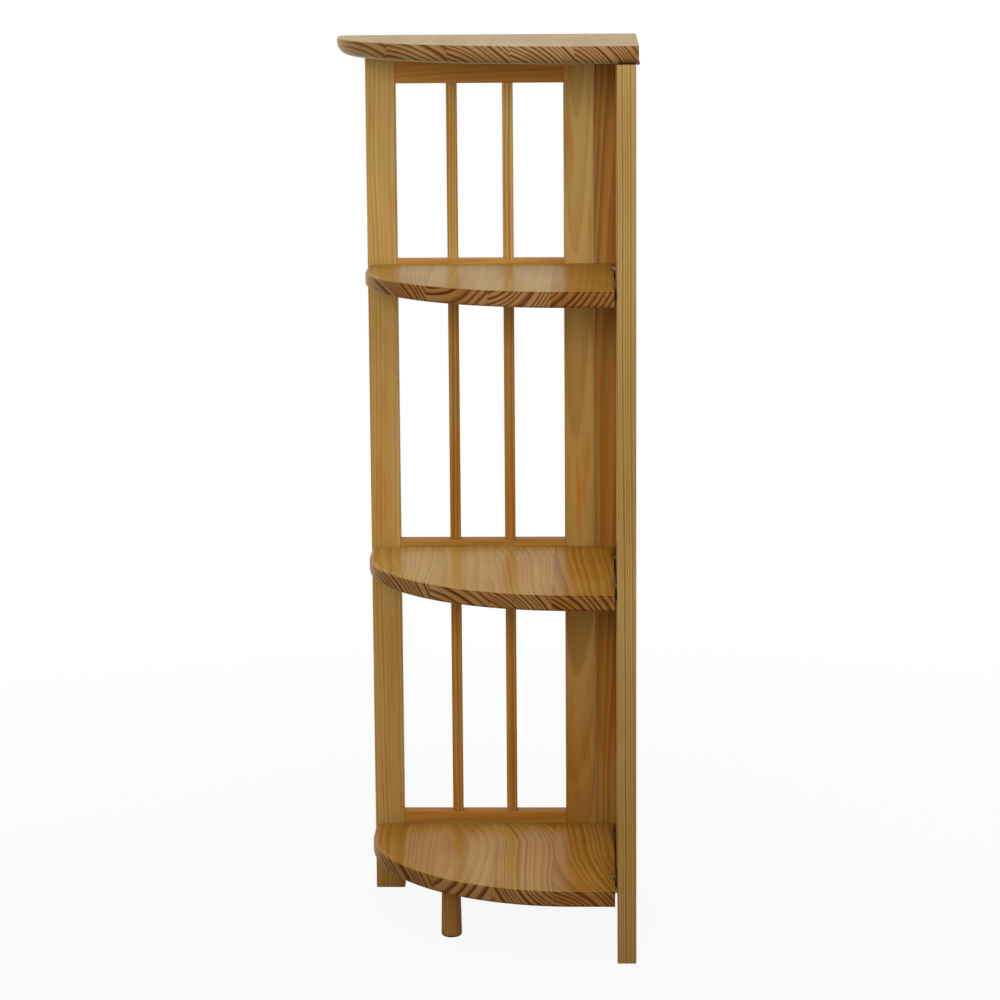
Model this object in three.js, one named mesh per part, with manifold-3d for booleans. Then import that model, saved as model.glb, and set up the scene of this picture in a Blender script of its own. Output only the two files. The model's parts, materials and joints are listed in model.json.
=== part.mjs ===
import * as THREE from "three";
import { mergeVertices } from "three/addons/utils/BufferGeometryUtils.js";
import Module from "manifold-3d";

const wasm = await Module();
wasm.setup();

// A folding corner shelf unit in pine. Sizes are in millimetres; x runs left to right, y front to
// back and z up. Places are measured from the inside corner: x = 0 is the side frame's inner face,
// y = 0 is the back frame's inner face and z = 0 is the floor. The last lines centre the unit.

// Whole unit
const unitHeight = 1066;
const seat = 0.3; // space between wooden pieces that touch
const fit = 0.3; // space round a tenon, spindle end, screw, peg or bolt in its hole
const overrun = 1; // how far a cutting block runs past the face that it cuts
const mergeDistance = 0.001;
const quarterTurn = Math.PI / 2;

// Frames
const frameThickness = 22;
const stileWidth = 36;
const stileEase = 2;
const backFrameWidth = 275.5;
const sideFrameFront = 304; // from the inside corner to the side frame's front edge
const railHeight = 36.5;
const railThickness = 20;
const railEase = 1.5;
const backRailSetback = 1;
const tenonLength = 14;
const tenonThickness = 8;
const tenonShoulder = 5;
const spindleWidth = 13;
const spindleThickness = 12;
const spindleEase = 2;
const spindleHousing = 8; // how far a spindle's end goes into its rail
const spindlesInBay = 2;
const postWidth = 25.8; // leaves room behind the closed unit for a folded shelf
const frameGap = 0.6; // between the back frame and the corner post
const postEase = 1;

// Boards
const topThickness = 20.5;
const topLeftOverhang = 31.8;
const topFrontOverhang = 3;
const topWallOverhang = 3;
const topSideRun = 32; // how much of the left edge is straight
const topFrontRun = 59; // how much of the front edge is straight
const topUpperRound = 2;
const topLowerRound = 16;
const shelfThickness = 18.5;
const shelfEndSetback = 1; // from the back frame's outer edge
const shelfFrontSetback = 5; // from the side frame's front edge
const shelfBackSpace = 3;
const shelfSideRun = 46;
const shelfFrontRun = 48.5;
const shelfRound = 4.5;
const backCornerMargin = 3; // what a board's small back corner has beyond its edge rounding

// Heights of the shelves' upper surfaces, and of the rails' top edges above them
const shelfHeights = { upper: 790, middle: 439, lower: 85 };
const railRises = { upper: 5.5, middle: 8, lower: 14 };

// Butt hinges
const boardHinge = { length: 38, screwSpacing: 22 }; // on the shelves and the top
const cornerHinge = { length: 30, screwSpacing: 16 }; // short, to stay clear of the folding shelves
const leafWidth = 16;
const leafThickness = 1.1;
const leafGap = 0.3;
const leafSeat = 0.1;
const pinRadius = 1.2;
const pinClearance = 0.15;
const knuckleCount = 5;
const knuckleEndPlay = 0.3;
const knuckleLift = 0.2;
const knuckleNotch = 0.3;
const hingeBackPlace = 61.5; // from the inside corner to the middle of the back hinge of a board
const hingeFrontPlace = 73; // from the side frame's front edge
const cornerHingeDrop = 1; // from a shelf's underside to the corner hinge below it

// Fasteners and leg
const screwRadius = 1.4;
const screwLength = 11;
const screwTip = 3;
const pegRadius = 3;
const pegLength = 24;
const pegDepth = 12;
const outerPegPlace = 16.2; // from a stile's outer edge to the middle of its peg
const cornerPegPlace = 16.3;
const legBottomRadius = 12.5;
const legTopRadius = 11.3;
const legRound = 4;
const legFromEnd = 102.2; // from the lower shelf's left end to the leg's axis
const legFromFront = 103;
const boltRadius = 3;
const boltInLeg = 25;
const boltInShelf = 13;

// Facets of the round shapes
const easeSteps = 2;
const roundSteps = 4;
const cornerSteps = 28;
const backCornerSteps = 3;
const rodSides = 12;
const knuckleSides = 10;
const screwSides = 6;
const legSides = 32;

// Derived places
const frameHeight = unitHeight - topThickness - seat;
const knuckleRadius = pinRadius + leafThickness;
const pinRise = knuckleRadius + knuckleLift; // from the edge of the wood to the pin's axis
const hingeGap = 2 * (leafThickness + leafSeat) + leafGap;
const pinToPinWood = knuckleRadius + leafSeat;
const postLeft = -(seat + postWidth);
const backFrameRight = postLeft - frameGap;
const backFrameLeft = backFrameRight - backFrameWidth;
const sideFrameDepth = sideFrameFront + frameThickness;
const shelfRight = -hingeGap;
const recessDepth = (hingeGap - seat) / 2; // of the top's hinges, in the board and in the rail
const cornerRecessDepth = (hingeGap - frameGap) / 2;

const unit = new THREE.Group();
const pieces = new Map();

// Helpers for solids and pieces

function solidFrom(geometry) {
  const bare = geometry.clone();
  bare.deleteAttribute("normal");
  bare.deleteAttribute("uv");
  const merged = mergeVertices(bare, mergeDistance);
  const triVerts = new Uint32Array(merged.index.array);
  const vertProperties = merged.attributes.position.array;
  return new wasm.Manifold(new wasm.Mesh({ numProp: 3, vertProperties, triVerts }));
}

function geometryFrom(solid) {
  const mesh = solid.getMesh();
  const indexed = new THREE.BufferGeometry();
  indexed.setAttribute("position", new THREE.BufferAttribute(mesh.vertProperties, 3));
  indexed.setIndex(new THREE.BufferAttribute(mesh.triVerts, 1));
  const geometry = indexed.toNonIndexed();
  geometry.computeVertexNormals();
  return geometry;
}

function join(geometries) {
  return geometries.map(solidFrom).reduce((whole, part) => whole.add(part));
}

function cutAway(solid, geometries) {
  return geometries.reduce((rest, cutter) => rest.subtract(solidFrom(cutter)), solid);
}

const finishes = {
  framePine: { color: 0xc39a5a, roughness: 0.45, metalness: 0 },
  boardPine: { color: 0xc08a45, roughness: 0.35, metalness: 0 },
  brass: { color: 0x9a8455, roughness: 0.4, metalness: 0.9 },
  steel: { color: 0x9a9a98, roughness: 0.4, metalness: 0.9 },
};

function addPiece(name, geometry, finish, parent = unit) {
  const mesh = new THREE.Mesh(geometry, new THREE.MeshStandardMaterial(finishes[finish]));
  mesh.name = name;
  parent.add(mesh);
  pieces.set(name, mesh);
  return mesh;
}

// Cuts geometry that is placed in the unit's frame out of a piece, whatever group the piece is in.
function cutPiece(name, geometries) {
  const mesh = pieces.get(name);
  mesh.updateWorldMatrix(true, false);
  const toPiece = mesh.matrixWorld.clone().invert();
  const cutters = geometries.map((geometry) => geometry.clone().applyMatrix4(toPiece));
  mesh.geometry = geometryFrom(cutAway(solidFrom(mesh.geometry), cutters));
}

function block(x0, x1, y0, y1, z0, z1) {
  const geometry = new THREE.BoxGeometry(x1 - x0, y1 - y0, z1 - z0);
  return geometry.translate((x0 + x1) / 2, (y0 + y1) / 2, (z0 + z1) / 2);
}

// A bar that stands on its end at the origin, with its four long edges eased.
function easedBar(width, thickness, length, ease) {
  const section = new THREE.Shape();
  section.absarc(width - ease, thickness - ease, ease, 0, quarterTurn);
  section.absarc(ease, thickness - ease, ease, quarterTurn, 2 * quarterTurn);
  section.absarc(ease, ease, ease, 2 * quarterTurn, 3 * quarterTurn);
  section.absarc(width - ease, ease, ease, 3 * quarterTurn, 4 * quarterTurn);
  const options = { depth: length, bevelEnabled: false, curveSegments: easeSteps };
  return new THREE.ExtrudeGeometry(section, options);
}

function rod(radius, length, sides) {
  return new THREE.CylinderGeometry(radius, radius, length, sides);
}

// Frames: two stiles, four rails and the spindles of three bays. Each stands in its group with its
// first stile at x = 0 and its near face at y = 0.

const railTops = [
  ["lower", shelfHeights.lower + railRises.lower],
  ["middle", shelfHeights.middle + railRises.middle],
  ["upper", shelfHeights.upper + railRises.upper],
  ["top", frameHeight],
];
const bayNames = ["bottom_bay", "middle_bay", "top_bay"];

function buildFrame(name, width, sideNames, railPlace) {
  const group = new THREE.Group();
  const railStart = stileWidth + seat;
  const railEnd = width - stileWidth - seat;
  const opening = width - 2 * stileWidth;
  const railMiddle = railPlace + railThickness / 2;
  const spindlePlaces = [];
  for (let i = 1; i <= spindlesInBay; i += 1) {
    spindlePlaces.push(stileWidth + (opening * i) / (spindlesInBay + 1));
  }

  function tenonBlock(top, space) {
    return block(
      stileWidth - tenonLength - space,
      width - stileWidth + tenonLength + space,
      railMiddle - tenonThickness / 2 - space,
      railMiddle + tenonThickness / 2 + space,
      top - railHeight + tenonShoulder - space,
      top - tenonShoulder + space,
    );
  }

  const mortises = railTops.map(([, top]) => tenonBlock(top, fit));
  [0, width - stileWidth].forEach((start, i) => {
    const bar = easedBar(stileWidth, frameThickness, frameHeight, stileEase).translate(start, 0, 0);
    const stile = cutAway(solidFrom(bar), mortises);
    addPiece(`${name}_${sideNames[i]}_stile`, geometryFrom(stile), "framePine", group);
  });

  function spindleBar(place, bottom, top, space) {
    const wide = spindleWidth + 2 * space;
    const deep = spindleThickness + 2 * space;
    const bar = easedBar(wide, deep, top - bottom + 2 * space, spindleEase);
    return bar.translate(place - wide / 2, railMiddle - deep / 2, bottom - space);
  }

  const bays = bayNames.map((bay, i) => ({
    bay,
    bottom: railTops[i][1] - spindleHousing,
    top: railTops[i + 1][1] - railHeight + spindleHousing,
  }));
  const housings = bays.flatMap(({ bottom, top }) =>
    spindlePlaces.map((place) => spindleBar(place, bottom, top, fit)),
  );
  for (const { bay, bottom, top } of bays) {
    spindlePlaces.forEach((place, i) => {
      const bar = spindleBar(place, bottom, top, 0);
      addPiece(`${name}_${bay}_${sideNames[i]}_spindle`, bar, "framePine", group);
    });
  }

  for (const [level, top] of railTops) {
    const bar = easedBar(railHeight, railThickness, railEnd - railStart, railEase);
    bar.rotateY(quarterTurn).translate(railStart, railPlace, top);
    const rail = cutAway(join([bar, tenonBlock(top, 0)]), housings);
    addPiece(`${name}_${level}_rail`, geometryFrom(rail), "framePine", group);
  }
  unit.add(group);
  return group;
}

const backFrame = buildFrame("back_frame", backFrameWidth, ["outer", "corner"], backRailSetback);
backFrame.position.set(backFrameLeft, 0, 0);

const sideRailPlace = frameThickness - railThickness; // flush with the inner face
const sideFrame = buildFrame("side_frame", sideFrameDepth, ["front", "rear"], sideRailPlace);
sideFrame.position.set(frameThickness, -sideFrameFront, 0);
sideFrame.rotation.z = quarterTurn;

const post = addPiece(
  "corner_post",
  easedBar(postWidth, frameThickness, frameHeight, postEase),
  "framePine",
);
post.position.set(postLeft, 0, 0);

// Boards: a rectangle with its front left corner rounded to a wide arc between two straight runs.
// The front, the arc and the left side are moulded; the back and the right side are square.

function boardRing(board, inset) {
  const { left, right, front, back, backCornerRadius } = board;
  const points = [new THREE.Vector2(right, front + inset), new THREE.Vector2(right, back)];
  const backX = left + backCornerRadius;
  const backY = back - backCornerRadius;
  for (let i = 0; i <= backCornerSteps; i += 1) {
    const turn = quarterTurn * (1 + i / backCornerSteps);
    const across = (backCornerRadius - inset) * Math.cos(turn);
    points.push(new THREE.Vector2(backX + across, backY + backCornerRadius * Math.sin(turn)));
  }
  const arcX = right - board.frontRun;
  const arcY = back - board.sideRun;
  const acrossX = arcX - left - inset;
  const acrossY = arcY - front - inset;
  for (let i = 0; i <= cornerSteps; i += 1) {
    const turn = quarterTurn * (2 + i / cornerSteps);
    const x = arcX + acrossX * Math.cos(turn);
    points.push(new THREE.Vector2(x, arcY + acrossY * Math.sin(turn)));
  }
  return points;
}

// Levels from the underside to the upper surface, each with how far the moulded edge is set in.
function edgeLevels(thickness, lowerRound, upperRound) {
  const levels = [];
  for (let i = 0; i <= roundSteps; i += 1) {
    const turn = (quarterTurn * i) / roundSteps;
    levels.push([lowerRound * (1 - Math.cos(turn)), lowerRound * (1 - Math.sin(turn))]);
  }
  for (let i = 0; i <= roundSteps; i += 1) {
    const turn = (quarterTurn * i) / roundSteps;
    const rise = thickness - upperRound * (1 - Math.sin(turn));
    levels.push([rise, upperRound * (1 - Math.cos(turn))]);
  }
  return levels;
}

function boardGeometry(board) {
  const levels = edgeLevels(board.thickness, board.lowerRound, board.upperRound);
  const rings = levels.map(([, inset]) => boardRing(board, inset));
  const count = rings[0].length;
  const positions = rings.flatMap((ring, i) => ring.flatMap((p) => [p.x, p.y, levels[i][0]]));
  const indices = [];
  for (let ring = 0; ring < rings.length - 1; ring += 1) {
    for (let i = 0; i < count; i += 1) {
      const near = ring * count + i;
      const next = ring * count + ((i + 1) % count);
      indices.push(near, next, next + count, near, next + count, near + count);
    }
  }
  const last = (rings.length - 1) * count;
  for (const [a, b, c] of THREE.ShapeUtils.triangulateShape(rings[0], [])) {
    indices.push(a, c, b);
  }
  for (const [a, b, c] of THREE.ShapeUtils.triangulateShape(rings.at(-1), [])) {
    indices.push(last + a, last + b, last + c);
  }
  const geometry = new THREE.BufferGeometry();
  geometry.setAttribute("position", new THREE.Float32BufferAttribute(positions, 3));
  geometry.setIndex(indices);
  return geometry;
}

const topBoard = {
  left: backFrameLeft - topLeftOverhang,
  right: frameThickness + topWallOverhang,
  front: -(sideFrameFront + topFrontOverhang),
  back: frameThickness + topWallOverhang,
  sideRun: topSideRun,
  frontRun: topFrontRun,
  backCornerRadius: topLowerRound + backCornerMargin,
  thickness: topThickness,
  lowerRound: topLowerRound,
  upperRound: topUpperRound,
};
addPiece("top_board", boardGeometry(topBoard), "boardPine").position.z = frameHeight + seat;

const shelfBoard = {
  left: backFrameLeft + shelfEndSetback,
  right: shelfRight,
  front: shelfFrontSetback - sideFrameFront,
  back: -shelfBackSpace,
  sideRun: shelfSideRun,
  frontRun: shelfFrontRun,
  backCornerRadius: shelfRound + backCornerMargin,
  thickness: shelfThickness,
  lowerRound: shelfRound,
  upperRound: shelfRound,
};
for (const [level, height] of Object.entries(shelfHeights)) {
  const shelf = addPiece(`${level}_shelf`, boardGeometry(shelfBoard), "boardPine");
  shelf.position.z = height - shelfThickness;
}

// Leg and the bolt that holds it under the lower shelf

const legHeight = shelfHeights.lower - shelfThickness - seat;
const legX = shelfBoard.left + legFromEnd;
const legY = shelfBoard.front + legFromFront;

function legProfile() {
  const profile = [new THREE.Vector2(0, 0)];
  for (let i = 0; i <= roundSteps; i += 1) {
    const turn = (quarterTurn * i) / roundSteps;
    const radius = legBottomRadius - legRound * (1 - Math.sin(turn));
    profile.push(new THREE.Vector2(radius, legRound * (1 - Math.cos(turn))));
  }
  profile.push(new THREE.Vector2(legTopRadius, legHeight));
  profile.push(new THREE.Vector2(0, legHeight));
  return profile;
}

const legGeometry = new THREE.LatheGeometry(legProfile(), legSides).rotateX(quarterTurn);
addPiece("leg", legGeometry, "framePine").position.set(legX, legY, 0);

function boltRod(space) {
  const length = boltInLeg + seat + boltInShelf + 2 * space;
  const bolt = rod(boltRadius + space, length, rodSides).rotateX(quarterTurn);
  return bolt.translate(legX, legY, legHeight - boltInLeg - space + length / 2);
}

addPiece("leg_bolt", boltRod(0), "steel");
cutPiece("leg", [boltRod(fit)]);
cutPiece("lower_shelf", [boltRod(fit)]);

// Pegs in the back frame's stiles, which the shelves rest on

function pegRod(x, z, space) {
  const length = pegLength + 2 * space;
  const middle = pegDepth - pegLength / 2;
  return rod(pegRadius + space, length, rodSides).translate(x, middle, z);
}

const pegPlaces = {
  outer: backFrameLeft + outerPegPlace,
  corner: backFrameRight - cornerPegPlace,
};
for (const [side, x] of Object.entries(pegPlaces)) {
  const holes = [];
  for (const [level, height] of Object.entries(shelfHeights)) {
    const z = height - shelfThickness - seat - pegRadius;
    addPiece(`${level}_shelf_${side}_peg`, pegRod(x, z, 0), "steel");
    holes.push(pegRod(x, z, fit));
  }
  cutPiece(`back_frame_${side}_stile`, holes);
}

// Butt hinges, closed. The pin runs along y through the origin and both leaves hang below it. The
// pin leaf lies to the right, level with the outside of the knuckles, and is riveted to the pin;
// the plain leaf lies to its left and turns on the pin. Each leaf holds its two screws.

const leafMiddle = -(pinRise + leafWidth / 2);
const leaves = {
  pin: { near: knuckleRadius - leafThickness, outward: 1, firstKnuckle: 0 },
  plain: { near: knuckleRadius - leafThickness - leafGap, outward: -1, firstKnuckle: 1 },
};

function screwBodies(hinge, leaf, space) {
  const radius = screwRadius + space;
  const length = leafThickness / 2 + screwLength + space;
  const profile = [
    new THREE.Vector2(0, 0),
    new THREE.Vector2(radius, 0),
    new THREE.Vector2(radius, length - screwTip),
    new THREE.Vector2(0, length),
  ];
  const start = leaf.near + (leaf.outward * leafThickness) / 2;
  return [-hinge.screwSpacing / 2, hinge.screwSpacing / 2].map((y) => {
    const screw = new THREE.LatheGeometry(profile, screwSides);
    return screw.rotateZ(-leaf.outward * quarterTurn).translate(start, y, leafMiddle);
  });
}

function leafGeometry(hinge, leaf) {
  const x0 = Math.min(leaf.near, leaf.near + leaf.outward * leafThickness);
  const x1 = x0 + leafThickness;
  const edge = -(knuckleRadius + leafGap);
  const ends = hinge.length / 2;
  const pitch = (hinge.length + knuckleEndPlay) / knuckleCount;
  const knuckleLength = pitch - knuckleEndPlay;
  const parts = [block(x0, x1, -ends, ends, -(pinRise + leafWidth), edge)];
  for (let i = leaf.firstKnuckle; i < knuckleCount; i += 2) {
    const start = i * pitch - ends;
    parts.push(block(x0, x1, start, start + knuckleLength, edge - overrun, 0));
    const knuckle = rod(knuckleRadius, knuckleLength, knuckleSides);
    parts.push(knuckle.translate(0, start + knuckleLength / 2, 0));
  }
  const whole = join([...parts, ...screwBodies(hinge, leaf, 0)]);
  const bore = rod(pinRadius + pinClearance, hinge.length + overrun, knuckleSides);
  const pin = rod(pinRadius, hinge.length, knuckleSides);
  const finished = leaf === leaves.pin ? whole.add(solidFrom(pin)) : cutAway(whole, [bore]);
  return geometryFrom(finished);
}

// The room that a let-in leaf takes out of the wood beside it.
function leafRecess(hinge, leaf) {
  const ends = hinge.length / 2 + fit;
  const face = leaf.near + leaf.outward * (leafThickness + leafSeat);
  const x0 = Math.min(face, face - leaf.outward * hingeGap);
  return block(x0, x0 + hingeGap, -ends, ends, -(pinRise + leafWidth + fit), 0);
}

function addHinge(name, hinge, leafNames, place, axes) {
  const group = new THREE.Group();
  group.position.copy(place);
  group.quaternion.setFromRotationMatrix(new THREE.Matrix4().makeBasis(...axes));
  unit.add(group);
  group.updateWorldMatrix(true, false);
  for (const [kind, leaf] of Object.entries(leaves)) {
    addPiece(`${name}_${leafNames[kind]}_leaf`, leafGeometry(hinge, leaf), "brass", group);
  }
  return (geometry) => geometry.applyMatrix4(group.matrixWorld);
}

const right = new THREE.Vector3(1, 0, 0);
const backward = new THREE.Vector3(0, 1, 0);
const up = new THREE.Vector3(0, 0, 1);
const hingePlaces = { rear: -hingeBackPlace, front: hingeFrontPlace - sideFrameFront };

for (const [level, height] of Object.entries(shelfHeights)) {
  for (const [side, y] of Object.entries(hingePlaces)) {
    const place = new THREE.Vector3(-pinToPinWood, y, height + pinRise);
    const leafNames = { pin: "frame", plain: "shelf" };
    const axes = [right, backward, up];
    const name = `${level}_shelf_${side}_hinge`;
    const placed = addHinge(name, boardHinge, leafNames, place, axes);
    const railCuts = screwBodies(boardHinge, leaves.pin, fit);
    cutPiece(`side_frame_${level}_rail`, railCuts.map(placed));
    cutPiece(`${level}_shelf`, screwBodies(boardHinge, leaves.plain, fit).map(placed));
  }
}

for (const [level, height] of Object.entries(shelfHeights)) {
  const middle = height - shelfThickness - cornerHingeDrop - cornerHinge.length / 2;
  const pinX = postLeft + cornerRecessDepth - pinToPinWood;
  const place = new THREE.Vector3(pinX, -pinRise, middle);
  const leafNames = { pin: "post", plain: "frame" };
  const axes = [right, up, backward.clone().negate()];
  const placed = addHinge(`${level}_corner_hinge`, cornerHinge, leafNames, place, axes);
  const postScrews = screwBodies(cornerHinge, leaves.pin, fit);
  const postCuts = [leafRecess(cornerHinge, leaves.pin), ...postScrews];
  cutPiece("corner_post", postCuts.map(placed));
  const stileScrews = screwBodies(cornerHinge, leaves.plain, fit);
  const stileCuts = [leafRecess(cornerHinge, leaves.plain), ...stileScrews];
  cutPiece("back_frame_corner_stile", stileCuts.map(placed));
}

for (const [side, y] of Object.entries(hingePlaces)) {
  const pinHeight = frameHeight + seat + recessDepth - pinToPinWood;
  const place = new THREE.Vector3(frameThickness + pinRise, y, pinHeight);
  const leafNames = { pin: "board", plain: "frame" };
  const axes = [up, backward.clone().negate(), right];
  const placed = addHinge(`top_${side}_hinge`, boardHinge, leafNames, place, axes);
  const notch = rod(knuckleRadius + knuckleNotch, boardHinge.length + 2 * fit, knuckleSides);
  const boardScrews = screwBodies(boardHinge, leaves.pin, fit);
  const boardCuts = [leafRecess(boardHinge, leaves.pin), notch, ...boardScrews];
  cutPiece("top_board", boardCuts.map(placed));
  const railScrews = screwBodies(boardHinge, leaves.plain, fit);
  const railCuts = [leafRecess(boardHinge, leaves.plain), ...railScrews];
  cutPiece("side_frame_top_rail", railCuts.map(placed));
}

// The part's origin is the middle of its base.
const centre = new THREE.Box3().setFromObject(unit, true).getCenter(new THREE.Vector3());
unit.position.set(-centre.x, -centre.y, 0);

export default unit;
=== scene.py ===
import json
import math

import bpy
from mathutils import Matrix, Vector


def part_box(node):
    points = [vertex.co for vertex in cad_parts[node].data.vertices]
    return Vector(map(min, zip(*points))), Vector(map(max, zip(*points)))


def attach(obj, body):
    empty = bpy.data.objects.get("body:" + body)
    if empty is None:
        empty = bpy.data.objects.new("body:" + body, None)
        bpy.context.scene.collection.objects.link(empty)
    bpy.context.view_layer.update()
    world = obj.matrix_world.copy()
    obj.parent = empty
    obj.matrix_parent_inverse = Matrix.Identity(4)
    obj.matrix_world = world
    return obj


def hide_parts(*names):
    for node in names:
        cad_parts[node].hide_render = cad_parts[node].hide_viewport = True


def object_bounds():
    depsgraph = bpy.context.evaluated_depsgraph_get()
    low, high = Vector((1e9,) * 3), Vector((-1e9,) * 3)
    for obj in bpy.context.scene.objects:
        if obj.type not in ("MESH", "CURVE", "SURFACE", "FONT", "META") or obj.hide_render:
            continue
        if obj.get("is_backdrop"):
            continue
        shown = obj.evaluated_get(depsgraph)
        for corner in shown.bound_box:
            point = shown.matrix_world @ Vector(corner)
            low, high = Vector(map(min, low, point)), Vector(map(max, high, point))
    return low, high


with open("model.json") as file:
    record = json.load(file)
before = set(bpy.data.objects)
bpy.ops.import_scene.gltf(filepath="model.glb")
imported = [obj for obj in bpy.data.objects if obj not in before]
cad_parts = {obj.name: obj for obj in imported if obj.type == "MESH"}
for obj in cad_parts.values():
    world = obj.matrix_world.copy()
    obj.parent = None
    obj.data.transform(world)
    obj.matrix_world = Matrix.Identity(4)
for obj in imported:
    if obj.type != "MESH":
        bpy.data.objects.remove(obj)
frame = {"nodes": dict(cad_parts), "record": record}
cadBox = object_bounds()

# Folding corner shelf unit in lacquered pine, dressed on its solids. Lengths are in metres.
# The inside corner is where the side frame's inner face meets the back frame's.
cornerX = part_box("side_frame_front_stile")[0].x
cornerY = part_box("back_frame_outer_stile")[0].y
levels = ["upper", "middle", "lower"]
bodyOf = {
    node: body
    for body, nodes in frame["record"]["behaviour"]["bodies"].items()
    for node in nodes
}


# Camera and light

print("camera, light and floor")
view = {
    "place": (0.1319, -3.907, 1.2363),
    "pitch": -0.1806,
    "roll": 0.0076,
    "yaw": 0.0299,
    "lens": 120.0,
}
bpy.ops.object.camera_add()
camera = bpy.context.object
camera.data.lens = view["lens"]
camera.data.clip_end = 1000
turn = Matrix.Rotation(view["yaw"], 4, "Z") @ Matrix.Rotation(view["pitch"], 4, "X")
turn = turn @ Matrix.Rotation(view["roll"], 4, "Y") @ Matrix.Rotation(math.pi / 2, 4, "X")
camera.matrix_world = Matrix.Translation(view["place"]) @ turn
bpy.context.scene.camera = camera
bpy.context.scene.view_settings.view_transform = "Standard"

# kind, place, the height on the object that it points at, size and power
lamps = {
    "frontLamp": ("AREA", (-0.4, -2.8, 1.6), 0.9, 1.4, 15),
    "highLamp": ("AREA", (0.3, -2.1, 2.9), 0.6, 1.6, 32),
    "headLamp": ("SPOT", (-0.4, -3.2, 1.5), 1.2, 0.4, 150),
    "rightLamp": ("AREA", (2.6, -0.3, 1.7), 0.7, 2.0, 22),
    "leftLamp": ("AREA", (-2.6, 0.3, 1.7), 0.7, 2.0, 14),
    "backLamp": ("AREA", (-0.4, 2.6, 1.9), 0.7, 2.0, 26),
}
spotAngle = 50
unmirrored = ["rightLamp", "leftLamp", "backLamp"]  # would show in the varnish as white bands
for name, (kind, place, aimHeight, size, power) in lamps.items():
    bpy.ops.object.light_add(type=kind, location=place)
    light = bpy.context.object
    light.name = name
    light.data.energy = power
    light.visible_camera = False
    light.visible_glossy = name not in unmirrored
    if kind == "SPOT":
        light.data.shadow_soft_size = size
        light.data.spot_size = math.radians(spotAngle)
        light.data.spot_blend = 1.0
    else:
        light.data.size = size
    aim = Vector((0, 0, aimHeight)) - Vector(place)
    light.rotation_euler = aim.to_track_quat("-Z", "Y").to_euler()


# Materials


class Signal:
    # One output in a material. Arithmetic on it adds Math nodes.
    def __init__(self, finish, socket):
        self.finish = finish
        self.socket = socket

    def __add__(self, other):
        return self.finish.maths("ADD", self, other)

    __radd__ = __add__

    def __sub__(self, other):
        return self.finish.maths("SUBTRACT", self, other)

    def __rsub__(self, other):
        return self.finish.maths("SUBTRACT", other, self)

    def __mul__(self, other):
        return self.finish.maths("MULTIPLY", self, other)

    __rmul__ = __mul__

    def __truediv__(self, other):
        return self.finish.maths("DIVIDE", self, other)

    def __abs__(self):
        return self.finish.maths("ABSOLUTE", self)


class Finish:
    # The nodes of a material or of the world.
    def __init__(self, owner):
        self.owner = owner
        owner.use_nodes = True
        self.tree = owner.node_tree
        self.tree.nodes.clear()

    def node(self, kind, sockets=None, output=0, stops=None, **settings):
        made = self.tree.nodes.new("ShaderNode" + kind)
        for key, value in settings.items():
            setattr(made, key, value)
        if stops:
            ramp = made.color_ramp
            ramp.interpolation = "CONSTANT"
            while len(ramp.elements) < len(stops):
                ramp.elements.new(1)
            for element, (place, colour) in zip(ramp.elements, stops):
                element.position = place
                element.color = (*colour, 1)
        for key, value in (sockets or {}).items():
            if isinstance(value, Signal):
                self.tree.links.new(value.socket, made.inputs[key])
            else:
                made.inputs[key].default_value = value
        return Signal(self, made.outputs[output]) if len(made.outputs) else None

    def maths(self, operation, *values):
        return self.node("Math", dict(enumerate(values)), operation=operation)

    def split(self, vector):
        first = self.node("SeparateXYZ", {0: vector})
        return [Signal(self, socket) for socket in first.socket.node.outputs]

    def between(self, low, high, value):
        # 0 below low, 1 above high and smooth in between
        sockets = {0: value, 1: low, 2: high}
        return self.node("MapRange", sockets, interpolation_type="SMOOTHSTEP")

    def noise(self, place, scale, seed=0.0, detail=2.0, roughness=0.5):
        sockets = {"Vector": place, "W": seed, "Scale": scale}
        sockets.update({"Detail": detail, "Roughness": roughness})
        return self.node("TexNoise", sockets, noise_dimensions="4D")

    def mix(self, factor, first, second, blend="MIX"):
        # colours are given as (red, green, blue) or as signals
        first, second = [c if isinstance(c, Signal) else (*c, 1) for c in (first, second)]
        sockets = {0: factor, 6: first, 7: second}
        return self.node("Mix", sockets, output=2, data_type="RGBA", blend_type=blend)

    def close(self, shader, output="OutputMaterial"):
        self.node(output, {0: shader})
        return self.owner


pineLook = {
    "early": (0.52, 0.322, 0.088),
    "late": (0.295, 0.132, 0.014),
    "endEarly": (0.31, 0.172, 0.058),
    "endLate": (0.085, 0.022, 0.002),
    "warmShade": (0.74, 0.525, 0.28),
    "paleShade": (1.04, 1.12, 1.30),
    "resin": 0.3,
    "resinTint": (0.95, 0.72, 0.45),
    "roughness": 0.42,
    "coat": 0.02,
    "coatRoughness": 0.22,
    "specular": 0.025,
}


# how the grain is drawn: scales are per metre, and bands are shares of a year's ring
grain = {
    "sway": 0.018,
    "swayScale": 7,
    "swell": 0.014,
    "swellScale": 5,
    "rippleScale": 26,
    "ripple": 0.5,
    "unevenYears": 1.6,
    "lateBand": (0.12, 0.90),
    "lateEndBand": (0.34, 0.78),
    "yearEnd": (0.92, 1.0),
    "endGrain": (0.12, 0.45),
    "threadScale": 520,
    "bloomScale": 22,
    "patchScale": 9,
    "resinScale": 55,
    "resinBand": (0.54, 0.68),
    "poreScale": 900,
    "poreBand": (0.66, 0.74),
    "poreColour": (0.16, 0.07, 0.02),
    "glueColour": (0.10, 0.045, 0.015),
    "bumpStrength": 0.25,
    "bumpDistance": 0.0003,
}
swerves = {"rear": 0.18, "rearLength": 0.11, "front": 0.19}  # where the grain of a stave bends
glueLine = (0.0003, 0.0001)  # half widths of a line between two staves, outside and inside


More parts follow.
